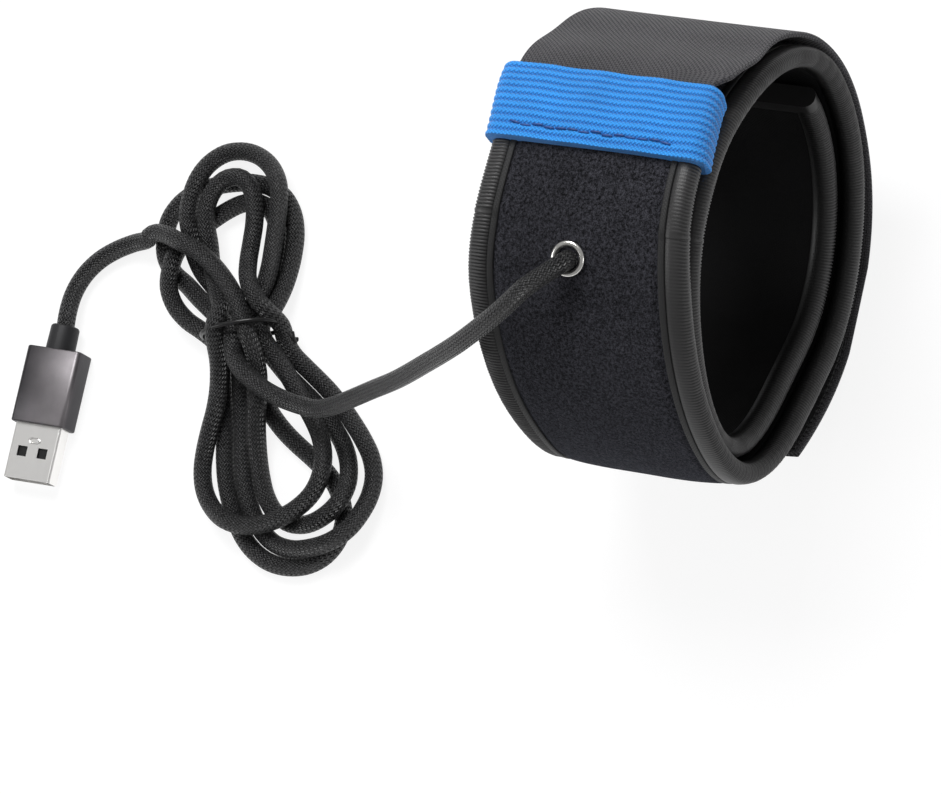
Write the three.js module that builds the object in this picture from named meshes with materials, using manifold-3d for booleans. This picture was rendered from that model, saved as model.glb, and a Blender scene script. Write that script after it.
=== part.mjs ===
// A heater strip that keeps dew off a telescope: a padded belt wound nearly two turns into a ring, held by
// an elastic strap, with a braided lead that is tied into a hank and ends in a USB plug.
// Millimetres, +Z up. The ring lies on its side with its axis along Y, its front opening toward -Y.
import * as THREE from 'three';
import { mergeVertices } from 'three/addons/utils/BufferGeometryUtils.js';
import Module from 'manifold-3d';

const wasm = await Module();
wasm.setup();

// Driving dimensions of the ring. Angles run round the ring in degrees from its upper front, and grow past
// 360 as the belt winds outward.
const ring_radius = 39.8;
const ring_roll = 100;
const belt_width = 49.5;
const belt_start = 112.5;
const belt_end = 756;
const turn_gap = 0.45;
const climb_from = 401;
const climb_to = 472.5;
const belt_squeeze = 0.05;
const squeezed = [700, 736];
const seam_gap = 0.2;
const facet_angle = 7.5;

// The belt's layers, from the bore outward, and the ribbed binding that wraps its edges.
const binding_thickness = 0.45;
const binding_reach = 4.5;
const binding_bevel = 1;
const lining_thickness = 0.5;
const film_thickness = 0.25;
const film_width = 36;
const film_margin = 6;
const foam_thickness = 1.75;
const velour_thickness = 0.8;
const end_binding_length = 3.4;

// The strap with its hook patch, and the keeper loop that holds the belt's outer end.
const strap_width = 47;
const strap_thickness = 1.2;
const strap_shift = 2;
const strap_skew = -4.65;
const strap_skews = [45, 100];
const strap_start = 738;
const strap_bridge = 1.4;
const strap_tail_clearance = 0.35;
const strap_tail_flare = -1;
const strap_lands = [40, 75];
const bridge_rises = [45, 70];
const bridge_falls = [80, 115];
const tail_lifts = [135, 180];
const tail_flares = [205, 240];
const strap_end = 233;
const flat_spot_drop = 0.8;
const hook_margin = 1.5;
const hook_thickness = 1.4;
const hook_start = 183;
const hook_end = 231.5;
const keeper_from = 736.5;
const keeper_to = 759;
const keeper_thickness = 0.9;
const keeper_slack = 0.3;
const keeper_fold = 1.8;
const keeper_climb = [45, 7.5];
const stitch_angle = 739;
const stitch_width = 0.7;
const stitch_height = 0.3;
const stitch_length = 38;
const stitch_shift = 4.5;

// The eyelet, the wires under it and the lead.
const eyelet_angle = 711;
const eyelet_shift = 3.4;
const eyelet_outer = 7.4;
const eyelet_bore = 5;
const eyelet_wall = 0.35;
const eyelet_flange = 0.7;
const washer_thickness = 0.4;
const washer_outer = 8;
const cord_diameter = 4.2;
const cord_sides = 10;
const wire_diameter = 0.9;
const wire_spacing = 4.4;
const wire_span = 22;
const sleeve_outer = 1.7;
const sleeve_bore = 1.2;
const sleeve_length = 6;
const sleeve_setback = 6;

// The hank's own line on the floor, and the tie round its waist.
const hank_waist = [-24, 116];
const hank_heading = 18;
const hank_floor = 0.2;
const hank_bevel = 2;
const hank_shoulder = 6;
const tie_diameter = 1.1;
const tie_clearance = 0.3;
const waist_half = 9.2;
const waist_low = 1.8;
const waist_top = 13.6;
const tail_length = 5.5;
const tail_diameter = 1.6;
const tail_lean = [-0.75, 0.15, -0.65];

// The plug, lying flat with its shell toward -X.
const plug_at = [-34.4, 162];
const collar_diameter = 6.7;
const collar_bore = 4.8;
const collar_length = 5.9;
const housing_length = 18;
const housing_width = 14;
const housing_height = 7;
const housing_corner = 1.5;
const housing_wall = 0.9;
const housing_back = 2.2;
const shell_width = 12;
const shell_height = 4.5;
const shell_wall = 0.3;
const shell_exposed = 13;
const shell_held = 5;
const window_size = 2.4;
const window_spacing = 5.2;
const window_from_tip = 6.4;
const tongue_width = 11;
const tongue_thickness = 1.9;
const tongue_setback = 0.8;
const contact_width = 1.1;
const contact_length = 8;
const contact_thickness = 0.2;
const contact_pitches = [-3.5, -1, 1, 3.5];
const board_thickness = 1;
const board_length = 7;

// The ring lead's points between the hank and the eyelet, and the plug lead's between the collar and the
// hank, as they lie.
const ring_lead = [
  [-41, 89, 16.8], [-40.5, 82, 22.5], [-40, 76, 29], [-39, 66, 40], [-38.5, 53, 56], [-37, 39, 73.5],
  [-36, 32, 82], [-34.5, 26, 88.5], [-32.5, 21.5, 92.5], [-29.5, 16.5, 96.5], [-26, 12.5, 99.5], [-22, 8.5, 101.3],
];
const plug_lead = [
  [-23, 162.6, 3.3], [-18.5, 162, 2.3], [-14, 160, 2.2], [-10, 156, 2.3], [-7, 150.5, 3], [-6, 146.6, 4.2],
];

// The ring isn't quite round. The tight strap draws it in at the upper back, the stiff strap end dents it
// below, and it bulges beside that dent and lies flatter below the front: angle, spread and height of each.
const ring_form = [[112, 30, -1.2], [222, 24, -3.6], [270, 20, 2.1], [322, 28, -1.6]];

// The belt isn't wound quite square: how far it stands back from the front opening where it starts, and how
// far it drifts between two angles.
const belt_recess = 2.95;
const belt_drifts = [[240, 350, -0.8], [385, 470, -3.4], [620, 725, 3.1]];

// The hank's outline at places along its line: distance from the waist, right edge, left edge, top.
const hank_outline = [
  [-56, -17, 0, 5], [-50, -25, 6.5, 8.5], [-45, -28, 10, 9.5], [-37, -29.5, 15, 12], [-28, -28, 15.5, 14.5],
  [-20, -24, 12.5, 16], [-13, -19, 10.5, 14.5], [-5, -12.5, 10, 13.6], [5, -11, 17, 13.8], [11, -13, 20, 13],
  [22, -15.5, 22.3, 12], [31, -14, 22.2, 10], [38, -12, 15, 8.7], [43, -8.5, 9, 7.5],
];

const radians = THREE.MathUtils.degToRad;
const smooth = (x, from, to) => THREE.MathUtils.smoothstep(x, from, to);
const hump = (angle, centre, spread) => Math.exp(-(((angle - centre) / spread) ** 2));
const belt_thickness =
  2 * binding_thickness + lining_thickness + film_thickness + foam_thickness + velour_thickness + 5 * seam_gap;
const turn_pitch = belt_thickness + turn_gap;
const keeper_lift = keeper_thickness + seam_gap;
const hook_width = strap_width - 2 * hook_margin;
const strap_tail_radius =
  ring_radius + turn_pitch + belt_thickness / 2 + hook_thickness + 2 * seam_gap + strap_thickness / 2 + strap_tail_clearance;

const material = (color, roughness, metalness = 0) => new THREE.MeshStandardMaterial({ color, roughness, metalness });
const fabric = material(0x464446, 0.95);
const ribbed_tape = material(0x3a3a3c, 0.85);
const velour = material(0x24242a, 1);
const lining_cloth = material(0x0b0b0c, 0.8);
const foam = material(0x2b2b2e, 0.95);
const film = material(0x8a5a2b, 0.5);
const hook_tape = material(0x161617, 0.95);
const blue_elastic = material(0x2389e2, 0.8);
const blue_thread = material(0x0f4f9c, 0.8);
const nickel = material(0xc9c8c4, 0.25, 1);
const copper = material(0xb87333, 0.4, 1);
const black_plastic = material(0x101011, 0.35);
const braid = material(0x2c2c2f, 0.8);
const anodised = material(0x55504c, 0.35, 0.9);
const steel = material(0xd2d0cc, 0.25, 1);
const gold = material(0xd4af37, 0.3, 1);

const ring = new THREE.Group();
const lead = new THREE.Group();
const model = new THREE.Group();
model.add(ring, lead);

function add(group, name, geometry, look) {
  const mesh = new THREE.Mesh(geometry, look);
  mesh.name = name;
  group.add(mesh);
  return mesh;
}

// The first turn's mid-line.
function firstTurn(angle) {
  const place = ((angle % 360) + 360) % 360;
  return ring_form.reduce((sum, [at, spread, height]) => sum + height * hump(place, at, spread), ring_radius);
}

// The belt climbs onto itself as it passes its inner end, and again where the keeper goes under it.
function beltRadius(angle) {
  const climb = turn_pitch * smooth(angle, climb_from, climb_to);
  const over_keeper = keeper_lift * smooth(angle, keeper_from - keeper_climb[0], keeper_from - keeper_climb[1]);
  return firstTurn(angle) + climb + over_keeper;
}

function beltShift(angle) {
  return belt_drifts.reduce((sum, [from, to, drift]) => sum + drift * smooth(angle, from, to), belt_recess);
}

// The keeper squeezes the belt's outer end.
const beltNarrow = (angle) => 1 - belt_squeeze * smooth(angle, ...squeezed);
const strapShift = (angle) => strap_shift + strap_skew * smooth(angle % 360, ...strap_skews);

// The strap leaves the keeper, bridges the single turn at the top, lies down the back and ends in a tail
// that stands off the dent.
function strapRadius(angle) {
  const turn = angle % 360;
  const above = belt_thickness / 2 + seam_gap + strap_thickness / 2;
  const bridge = strap_bridge * smooth(turn, ...bridge_rises) * (1 - smooth(turn, ...bridge_falls));
  const over_keeper = beltRadius(Math.min(turn + 720, belt_end)) + above;
  const over_belt = beltRadius(turn + 360) + above + bridge;
  const on_belt = THREE.MathUtils.lerp(over_keeper, over_belt, smooth(turn, ...strap_lands));
  const tail = strap_tail_radius + strap_tail_flare * smooth(turn, ...tail_flares);
  return THREE.MathUtils.lerp(on_belt, tail, smooth(turn, ...tail_lifts));
}

const flat_spot_level = -(strap_tail_radius + strap_thickness / 2 - flat_spot_drop);

// A point of a wound layer: at an angle, an offset across the ring and a height above the layer's path.
function woundPoint(radius, angle, across, height, floor_level) {
  const at = (degrees) => {
    const turn = radians(ring_roll - degrees);
    return new THREE.Vector3(Math.cos(turn), 0, Math.sin(turn)).multiplyScalar(radius(degrees));
  };
  const along = at(angle + 0.5).sub(at(angle - 0.5)).normalize();
  const outward = new THREE.Vector3(-along.z, 0, along.x);
  const point = at(angle).addScaledVector(outward, height);
  point.y = across;
  if (floor_level !== undefined) point.z = Math.max(point.z, floor_level);
  return point;
}

// The bends of the wound layers, spaced so that the eyelet sits in the middle of a flat.
function anglesBetween(from, to) {
  const angles = [from];
  const first_bend = (eyelet_angle - facet_angle / 2) % facet_angle;
  let next = (Math.floor((from - first_bend) / facet_angle + 0.01) + 1) * facet_angle + first_bend;
  while (next < to - 0.01) {
    angles.push(next);
    next += facet_angle;
  }
  return [...angles, to];
}

// Joins rings of points, each an outer loop and, for a hollow section, an inner one, into a closed skin.
function skin(loops, holes) {
  const count = loops[0].length;
  const places = [];
  const faces = [];
  const put = (rows) => {
    const first = places.length / 3;
    rows.forEach((row) => row.forEach((p) => places.push(p.x, p.y, p.z)));
    return first;
  };
  const wall = (first, size, flipped) => {
    for (let row = 0; row < loops.length - 1; row += 1) {
      for (let i = 0; i < size; i += 1) {
        const a = first + row * size + i;
        const b = first + row * size + ((i + 1) % size);
        const quad = flipped ? [a, b + size, b, a, a + size, b + size] : [a, b, b + size, a, b + size, a + size];
        faces.push(...quad);
      }
    }
  };
  const outer = put(loops);
  wall(outer, count, false);
  const last = (loops.length - 1) * count;
  if (holes) {
    const inner = put(holes);
    wall(inner, count, true);
    for (let i = 0; i < count; i += 1) {
      const j = (i + 1) % count;
      faces.push(outer + j, outer + i, inner + i, outer + j, inner + i, inner + j);
      faces.push(outer + last + i, outer + last + j, inner + last + j);
      faces.push(outer + last + i, inner + last + j, inner + last + i);
    }
  }
  const geometry = new THREE.BufferGeometry();
  geometry.setAttribute('position', new THREE.Float32BufferAttribute(places, 3));
  return { geometry, faces, last };
}

// Closes both ends of a skin whose sections are bands: each point faces the one as far from the loop's end.
function closeEnds(faces, count, last) {
  for (let i = 0; i < count / 2 - 1; i += 1) {
    const [a, b, c, d] = [i, i + 1, count - 2 - i, count - 1 - i];
    faces.push(c, b, a, d, c, a);
    faces.push(last + a, last + b, last + c, last + a, last + c, last + d);
  }
}

// Sweeps a section round the ring. The section is a closed loop of [across, height] pairs, counterclockwise.
function wind({ radius, shift = () => 0, narrow = () => 1, from, to, section, hole, floor_level }) {
  const angles = anglesBetween(from, to);
  const place = (loop) => angles.map((angle) => loop.map(([across, height]) => {
    const level = floor_level === undefined ? undefined : floor_level(height);
    return woundPoint(radius, angle, across * narrow(angle) + shift(angle), height, level);
  }));
  const { geometry, faces, last } = skin(place(section), hole && place(hole));
  if (!hole) closeEnds(faces, section.length, last);
  geometry.setIndex(faces);
  return geometry;
}

const band = (left, right, low, high) => [[left, low], [right, low], [right, high], [left, high]];

function roundLoop(across, height, diameter, sides = 8) {
  return Array.from({ length: sides }, (_, i) => {
    const turn = (2 * Math.PI * i) / sides;
    return [across + (diameter / 2) * Math.cos(turn), height + (diameter / 2) * Math.sin(turn)];
  });
}

// A solid for joining and cutting, and the way back to a geometry.
function solidOf(geometry) {
  const bare = geometry.clone();
  bare.deleteAttribute('normal');
  bare.deleteAttribute('uv');
  const merged = mergeVertices(bare, 1e-4);
  return new wasm.Manifold(new wasm.Mesh({
    numProp: 3,
    vertProperties: new Float32Array(merged.attributes.position.array),
    triVerts: new Uint32Array(merged.index.array),
  }));
}

function geometryOf(solid) {
  const mesh = solid.getMesh();
  const geometry = new THREE.BufferGeometry();
  geometry.setAttribute('position', new THREE.BufferAttribute(new Float32Array(mesh.vertProperties), 3));
  geometry.setIndex(new THREE.BufferAttribute(new Uint32Array(mesh.triVerts), 1));
  return geometry;
}

const cut = (geometry, ...tools) => geometryOf(
  tools.reduce((body, tool) => body.subtract(solidOf(tool)), solidOf(geometry)),
);

// The belt's layers by height above its mid-line.
const lining_low = -belt_thickness / 2 + binding_thickness + seam_gap;
const lining_high = lining_low + lining_thickness;
const film_low = lining_high + seam_gap;
const film_high = film_low + film_thickness;
const foam_low = film_high + seam_gap;
const foam_high = foam_low + foam_thickness;
const velour_low = foam_high + seam_gap;
const velour_high = velour_low + velour_thickness;
const inside_half = belt_width / 2 - Math.max(binding_bevel, binding_thickness) - seam_gap / 2;
const end_binding_angle = (end_binding_length / ring_radius) * (180 / Math.PI);
const layer_start = belt_start + (seam_gap / ring_radius) * (180 / Math.PI) + end_binding_angle;

function windBelt(name, look, half_width, low, high, from = layer_start, to = belt_end) {
  const section = band(-half_width, half_width, low, high);
  const path = { radius: beltRadius, shift: beltShift, narrow: beltNarrow };
  return add(ring, name, wind({ ...path, from, to, section }), look);
}

// The eyelet's seat: the middle of its flat on the velour's outer face, and the way it points.
const bend_before = woundPoint(beltRadius, eyelet_angle - facet_angle / 2, eyelet_shift, velour_high);
const bend_after = woundPoint(beltRadius, eyelet_angle + facet_angle / 2, eyelet_shift, velour_high);
const eyelet_seat = bend_before.clone().lerp(bend_after, 0.5);
const facet_run = bend_after.clone().sub(bend_before).normalize();
const eyelet_axis = new THREE.Vector3(-facet_run.z, 0, facet_run.x);

function onEyelet(geometry, height) {
  const turn = new THREE.Quaternion().setFromUnitVectors(new THREE.Vector3(0, 1, 0), eyelet_axis);
  geometry.applyQuaternion(turn);
  const place = eyelet_seat.clone().addScaledVector(eyelet_axis, height);
  return geometry.translate(place.x, place.y, place.z);
}

const drill = (diameter) => onEyelet(new THREE.CylinderGeometry(diameter / 2, diameter / 2, 20, 32), 0);
const wire_angle = (wire_span / (ring_radius + turn_pitch)) * (180 / Math.PI);
const washer_angle = (washer_outer / 2 / (ring_radius + turn_pitch)) * (180 / Math.PI);

function makeLayers() {
  windBelt('inner_lining', lining_cloth, inside_half, lining_low, lining_high);
  const film_end = eyelet_angle + washer_angle;
  windBelt('heating_film', film, film_width / 2, film_low, film_high, layer_start + film_margin, film_end);
  const core = windBelt('foam_core', foam, inside_half, foam_low, foam_high);
  const pocket = wind({
    radius: beltRadius,
    from: eyelet_angle - wire_angle - 1,
    to: eyelet_angle,
    section: band(eyelet_shift - washer_outer / 2, eyelet_shift + washer_outer / 2, foam_low - 1, foam_high + 1),
  });
  core.geometry = cut(core.geometry, drill(washer_outer + 2 * seam_gap), pocket);
  const panel = windBelt('velour_face', velour, inside_half, velour_low, velour_high);
  panel.geometry = cut(panel.geometry, drill(eyelet_bore + 2 * eyelet_wall + 2 * seam_gap));
}

function makeBindings() {
  const half = belt_width / 2;
  const top = belt_thickness / 2;
  const thick = binding_thickness;
  const reach = half - binding_reach;
  const turn = half - binding_bevel;
  const outside = [
    [reach, -top], [turn, -top], [half, binding_bevel - top], [half, top - binding_bevel], [turn, top], [reach, top],
  ];
  const inside = [
    [reach, top - thick], [turn, top - thick], [half - thick, top - binding_bevel],
    [half - thick, binding_bevel - top], [turn, thick - top], [reach, thick - top],
  ];
  const far_edge = [...outside, ...inside];
  const near_edge = far_edge.map(([across, height]) => [-across, height]).reverse();
  const along_belt = { radius: beltRadius, shift: beltShift, narrow: beltNarrow };
  const path = { ...along_belt, from: belt_start + end_binding_angle, to: belt_end };
  add(ring, 'near_edge_binding', wind({ ...path, section: near_edge }), ribbed_tape);
  add(ring, 'far_edge_binding', wind({ ...path, section: far_edge }), ribbed_tape);
  const end_path = { ...along_belt, from: belt_start, to: path.from - 0.3 };
  add(ring, 'inner_end_binding', wind({ ...end_path, section: band(-half, half, -top, top) }), ribbed_tape);
}

function makeStrap() {
  const floor_level = (height) => flat_spot_level + strap_thickness / 2 - height;
  const path = { radius: strapRadius, shift: strapShift, floor_level };
  const half = strap_width / 2;
  const section = band(-half, half, -strap_thickness / 2, strap_thickness / 2);
  add(ring, 'elastic_strap', wind({ ...path, from: strap_start - 720, to: strap_end, section }), fabric);
  const hook_high = -strap_thickness / 2 - seam_gap;
  const hooks = band(-hook_width / 2, hook_width / 2, hook_high - hook_thickness, hook_high);
  add(ring, 'hook_patch', wind({ ...path, from: hook_start, to: hook_end, section: hooks }), hook_tape);
}

// A loop of flat elastic round the belt's end and the strap's root, with rounded folds past both edges.
function makeKeeper() {
  const low = -belt_thickness / 2 - seam_gap;
  const high = belt_thickness / 2 + 2 * seam_gap + strap_thickness;
  const beside = Math.abs(strap_shift - beltShift(keeper_from));
  const half = Math.max((belt_width / 2) * (1 - belt_squeeze), strap_width / 2 + beside);
  const loop = (grow) => {
    const side = half + keeper_slack + grow;
    const flat = half + seam_gap;
    const [under, over] = [low + keeper_fold, high - keeper_fold];
    return [
      [-flat, low - grow], [flat, low - grow], [side, under], [side, over],
      [flat, high + grow], [-flat, high + grow], [-side, over], [-side, under],
    ];
  };
  const path = { radius: beltRadius, shift: beltShift, from: keeper_from, to: keeper_to };
  add(ring, 'blue_keeper_loop', wind({ ...path, section: loop(keeper_thickness), hole: loop(0) }), blue_elastic);
  const seam = high + keeper_thickness + seam_gap;
  const stitch_span = (stitch_width / (ring_radius + turn_pitch)) * (180 / Math.PI);
  const [right, left] = [stitch_shift - stitch_length / 2, stitch_shift + stitch_length / 2];
  const stitches = band(right, left, seam, seam + stitch_height);
  const row = { radius: beltRadius, from: stitch_angle, to: stitch_angle + stitch_span, section: stitches };
  add(ring, 'keeper_stitching', wind(row), blue_thread);
}

function makeEyelet() {
  const outer = eyelet_outer / 2;
  const bore = eyelet_bore / 2;
  const barrel = bore + eyelet_wall;
  const bottom = -velour_thickness - seam_gap - washer_thickness - seam_gap;
  const lip = bore + 0.3;
  const profile = [
    [bore, bottom], [barrel, bottom], [barrel, seam_gap], [outer - 0.2, seam_gap], [outer, seam_gap + 0.25],
    [outer - 0.4, eyelet_flange], [lip, eyelet_flange + 0.1], [bore, eyelet_flange - 0.3], [bore, bottom],
  ].map(([x, y]) => new THREE.Vector2(x, y));
  add(ring, 'nickel_eyelet', onEyelet(new THREE.LatheGeometry(profile, 28), 0), nickel);
  const high = -velour_thickness - seam_gap;
  const low = high - washer_thickness;
  const disc = [
    [barrel + seam_gap, low], [washer_outer / 2, low], [washer_outer / 2, high], [barrel + seam_gap, high],
    [barrel + seam_gap, low],
  ].map(([x, y]) => new THREE.Vector2(x, y));
  add(ring, 'eyelet_washer', onEyelet(new THREE.LatheGeometry(disc, 28), 0), nickel);
}

// Two wires run from under the eyelet through a pocket in the foam, each with a sleeve over its joint.
function makeWires() {
  const mid = (foam_low + foam_high) / 2;
  const to = eyelet_angle - washer_angle - 1;
  const from = eyelet_angle - wire_angle;
  const degrees = 180 / Math.PI / (ring_radius + turn_pitch);
  const sleeve_from = from + sleeve_setback * degrees;
  for (const [side, sign] of [['near', -1], ['far', 1]]) {
    const across = eyelet_shift + (sign * wire_spacing) / 2;
    const sleeve_to = sleeve_from + sleeve_length * degrees;
    const path = { radius: beltRadius };
    add(ring, `${side}_supply_wire`, wind({ ...path, from, to, section: roundLoop(across, mid, wire_diameter) }), copper);
    const section = roundLoop(across, mid, sleeve_outer);
    const hole = roundLoop(across, mid, sleeve_bore);
    add(ring, `${side}_wire_sleeve`, wind({ ...path, from: sleeve_from, to: sleeve_to, section, hole }), black_plastic);
  }
}

makeLayers();
makeBindings();
makeStrap();
makeKeeper();
makeEyelet();
makeWires();

// The ring stands with its base at the origin.
const bounds = new THREE.Box3().setFromObject(ring);
const middle = bounds.getCenter(new THREE.Vector3());
ring.position.set(-middle.x, -middle.y, -bounds.min.z);

function cordTube(points) {
  const path = new THREE.CatmullRomCurve3(points);
  const steps = Math.ceil(path.getLength() / (2.2 * cord_diameter));
  const round = new THREE.Shape().absarc(0, 0, cord_diameter / 2, 0, 2 * Math.PI);
  const options = { steps, extrudePath: path, curveSegments: cord_sides / 2, bevelEnabled: false };
  return new THREE.ExtrudeGeometry(round, options);
}

function makeLeads() {
  const mouth = eyelet_seat.clone().addScaledVector(eyelet_axis, eyelet_flange + 0.4).add(ring.position);
  const risen = mouth.clone().addScaledVector(eyelet_axis, 1.5);
  const route = ring_lead.map((p) => new THREE.Vector3(...p));
  add(lead, 'ring_lead', cordTube([...route, risen, mouth]), braid);
  const start = new THREE.Vector3(plug_at[0] + collar_length + 0.3, plug_at[1], housing_height / 2);
  add(lead, 'plug_lead', cordTube([start, ...plug_lead.map((p) => new THREE.Vector3(...p))]), braid);
}

// The hank as one body: a rounded section at each place of its outline, drawn in where the tie holds it.
function makeHank() {
  const heading = radians(hank_heading);
  const rows = [];
  const station = (along, right, left, low, top) => {
    const bevel = Math.min(hank_bevel, (top - low) / 4);
    const shoulder_drop = Math.min(hank_shoulder, (top - low) / 2);
    const shoulder = Math.min(hank_shoulder, (left - right) / 3);
    const loop = [
      [right + bevel, low], [left - bevel, low], [left, low + bevel], [left, top - shoulder_drop],
      [left - shoulder, top], [right + shoulder, top], [right, top - shoulder_drop], [right, low + bevel],
    ];
    rows.push(loop.map(([u, z]) => new THREE.Vector3(
      hank_waist[0] + along * Math.cos(heading) - u * Math.sin(heading),
      hank_waist[1] + along * Math.sin(heading) + u * Math.cos(heading),
      z,
    )));
  };
  const half_tie = tie_diameter / 2 + tie_clearance;
  const waist = [-half_tie, half_tie].map((s) => [s, -waist_half, waist_half, waist_top, waist_low]);
  const stations = [...hank_outline.map((row) => [...row, hank_floor]), ...waist];
  stations.sort((a, b) => a[0] - b[0]);
  stations.forEach(([along, right, left, top, low]) => station(along, right, left, low, top));
  const { geometry, faces, last } = skin(rows);
  closeEnds(faces, rows[0].length, last);
  geometry.setIndex(faces);
  add(lead, 'cord_hank', geometry, braid);
}

function roundedLoop(width, height, corner) {
  const shape = new THREE.Shape();
  const x = width / 2 - corner;
  const y = height / 2 - corner;
  shape.absarc(x, y, corner, 0, Math.PI / 2);
  shape.absarc(-x, y, corner, Math.PI / 2, Math.PI);
  shape.absarc(-x, -y, corner, Math.PI, 1.5 * Math.PI);
  shape.absarc(x, -y, corner, 1.5 * Math.PI, 2 * Math.PI);
  shape.closePath();
  return shape;
}

function makeTie() {
  const width = 2 * (waist_half + tie_clearance);
  const height = waist_top - waist_low + 2 * tie_clearance;
  const outline = roundedLoop(width + 2 * tie_diameter, height + 2 * tie_diameter, 3 + tie_diameter);
  outline.holes.push(roundedLoop(width, height, 3));
  const options = { depth: tie_diameter, curveSegments: 6, bevelEnabled: false };
  const loop = new THREE.ExtrudeGeometry(outline, options).translate(0, 0, -tie_diameter / 2);
  const tail = new THREE.CylinderGeometry(tail_diameter / 2, tail_diameter / 2, tail_length, 10);
  const lean = new THREE.Vector3(...tail_lean).normalize();
  tail.applyQuaternion(new THREE.Quaternion().setFromUnitVectors(new THREE.Vector3(0, 1, 0), lean));
  const tail_middle = lean.multiplyScalar(tail_length / 2);
  tail.translate(tail_middle.x - (width + tie_diameter) / 2, tail_middle.y, tail_middle.z);
  const whole = geometryOf(solidOf(loop).add(solidOf(tail)));
  const heading = radians(hank_heading);
  const across = new THREE.Vector3(-Math.sin(heading), Math.cos(heading), 0);
  const up = new THREE.Vector3(0, 0, 1);
  const frame = new THREE.Matrix4().makeBasis(across, up, across.clone().cross(up));
  whole.applyMatrix4(frame);
  whole.translate(hank_waist[0], hank_waist[1], (waist_low + waist_top) / 2);
  add(lead, 'twist_tie', whole, black_plastic);
}

// Everything on the plug is drawn from the housing's back face, with its length along -X.
function along(geometry, start, offset_y = 0, offset_z = 0) {
  geometry.rotateY(-Math.PI / 2);
  return geometry.translate(plug_at[0] - start, plug_at[1] + offset_y, housing_height / 2 + offset_z);
}

// A block with rounded edges along X: its height is X in the drawing and its width is Y.
function sleeve(height, width, corner, length, start) {
  const shape = roundedLoop(height, width, corner);
  return along(new THREE.ExtrudeGeometry(shape, { depth: length, curveSegments: 5, bevelEnabled: false }), start);
}

const slab = (height, width, length) => new THREE.BoxGeometry(height, width, length).translate(0, 0, length / 2);

function makePlug() {
  const collar_profile = [
    [collar_bore / 2, 0], [collar_diameter / 2 - 0.3, 0], [collar_diameter / 2, 0.3],
    [collar_diameter / 2, collar_length - 0.3], [collar_bore / 2, collar_length - 0.3], [collar_bore / 2, 0],
  ].map(([x, y]) => new THREE.Vector2(x, y));
  const collar = new THREE.LatheGeometry(collar_profile, 24).rotateX(Math.PI / 2);
  add(lead, 'plug_collar', along(collar, -collar_length), anodised);

  const block = sleeve(housing_height, housing_width, housing_corner, housing_length, 0);
  const cavity_height = housing_height - 2 * housing_wall;
  const cavity_width = housing_width - 2 * housing_wall;
  const pocket = sleeve(cavity_height, cavity_width, housing_corner / 2, housing_length, housing_back);
  const inlet = along(new THREE.CylinderGeometry(collar_bore / 2, collar_bore / 2, 8, 20).rotateX(Math.PI / 2), 0);
  add(lead, 'plug_housing', cut(block, pocket, inlet), anodised);

  const shell_start = housing_length - shell_held;
  const shell_length = shell_held + shell_exposed;
  const can = sleeve(shell_height, shell_width, 0.6, shell_length, shell_start);
  const hollow_height = shell_height - 2 * shell_wall;
  const hollow_width = shell_width - 2 * shell_wall;
  const hollow = sleeve(hollow_height, hollow_width, 0.3, shell_length + 2, shell_start - 1);
  const window_start = housing_length + shell_exposed - window_from_tip - window_size / 2;
  const windows = [-1, 1].map((side) => along(
    slab(shell_height + 2, window_size, window_size), window_start, (side * window_spacing) / 2,
  ));
  add(lead, 'usb_shell', cut(can, hollow, ...windows), steel);

  const tongue_z = shell_height / 2 - shell_wall - tongue_thickness / 2 - 0.25;
  const tongue_length = shell_length - tongue_setback;
  add(lead, 'usb_tongue', along(slab(tongue_thickness, tongue_width, tongue_length), shell_start, 0, tongue_z), black_plastic);
  const contact_z = tongue_z - tongue_thickness / 2 - contact_thickness / 2 - 0.15;
  const contact_start = shell_start + tongue_length - contact_length - 0.6;
  contact_pitches.forEach((offset, i) => {
    const strip = along(slab(contact_thickness, contact_width, contact_length), contact_start, offset, contact_z);
    add(lead, `contact_${i + 1}`, strip, gold);
  });
  const board_start = shell_start - board_length - seam_gap;
  add(lead, 'solder_board', along(slab(board_thickness, tongue_width, board_length), board_start), foam);
}

makeLeads();
makeHank();
makeTie();
makePlug();

export default model;
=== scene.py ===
import math

import bmesh
import bpy
import numpy as np
from mathutils import Matrix, Vector


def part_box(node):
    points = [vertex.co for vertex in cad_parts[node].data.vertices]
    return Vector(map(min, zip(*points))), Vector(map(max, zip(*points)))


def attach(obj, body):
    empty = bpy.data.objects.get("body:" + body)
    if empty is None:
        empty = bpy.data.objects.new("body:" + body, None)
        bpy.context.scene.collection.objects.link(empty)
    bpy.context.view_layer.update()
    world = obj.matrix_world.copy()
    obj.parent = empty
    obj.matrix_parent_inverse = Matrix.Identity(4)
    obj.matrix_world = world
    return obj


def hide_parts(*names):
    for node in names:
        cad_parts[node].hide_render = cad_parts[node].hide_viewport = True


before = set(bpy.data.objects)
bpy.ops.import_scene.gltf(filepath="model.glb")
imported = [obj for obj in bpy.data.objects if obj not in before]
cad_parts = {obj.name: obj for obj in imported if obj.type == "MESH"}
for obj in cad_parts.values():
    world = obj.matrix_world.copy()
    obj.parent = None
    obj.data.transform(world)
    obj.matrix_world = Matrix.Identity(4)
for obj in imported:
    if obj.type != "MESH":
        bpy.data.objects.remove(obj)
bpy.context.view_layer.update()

# The camera looks down on the ring from the side of its front opening. The lens is long, so the belt's
# near and far edges come out almost the same size.
camera_right = Vector((0.2138, -0.906, -0.364))
camera_back = Vector((-0.1593, -0.400, 0.902)).normalized()
camera_place = (-0.2632, -0.52505, 1.3194)
lens_length = 248.8
camera_right = (camera_right - camera_back * camera_right.dot(camera_back)).normalized()
camera = bpy.data.objects.new("camera", bpy.data.cameras.new("camera"))
bpy.context.scene.collection.objects.link(camera)
turn = Matrix((camera_right, camera_back.cross(camera_right), camera_back)).transposed().to_4x4()
turn.translation = camera_place
camera.matrix_world = turn
camera.data.lens = lens_length
camera.data.clip_end = 20
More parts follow.
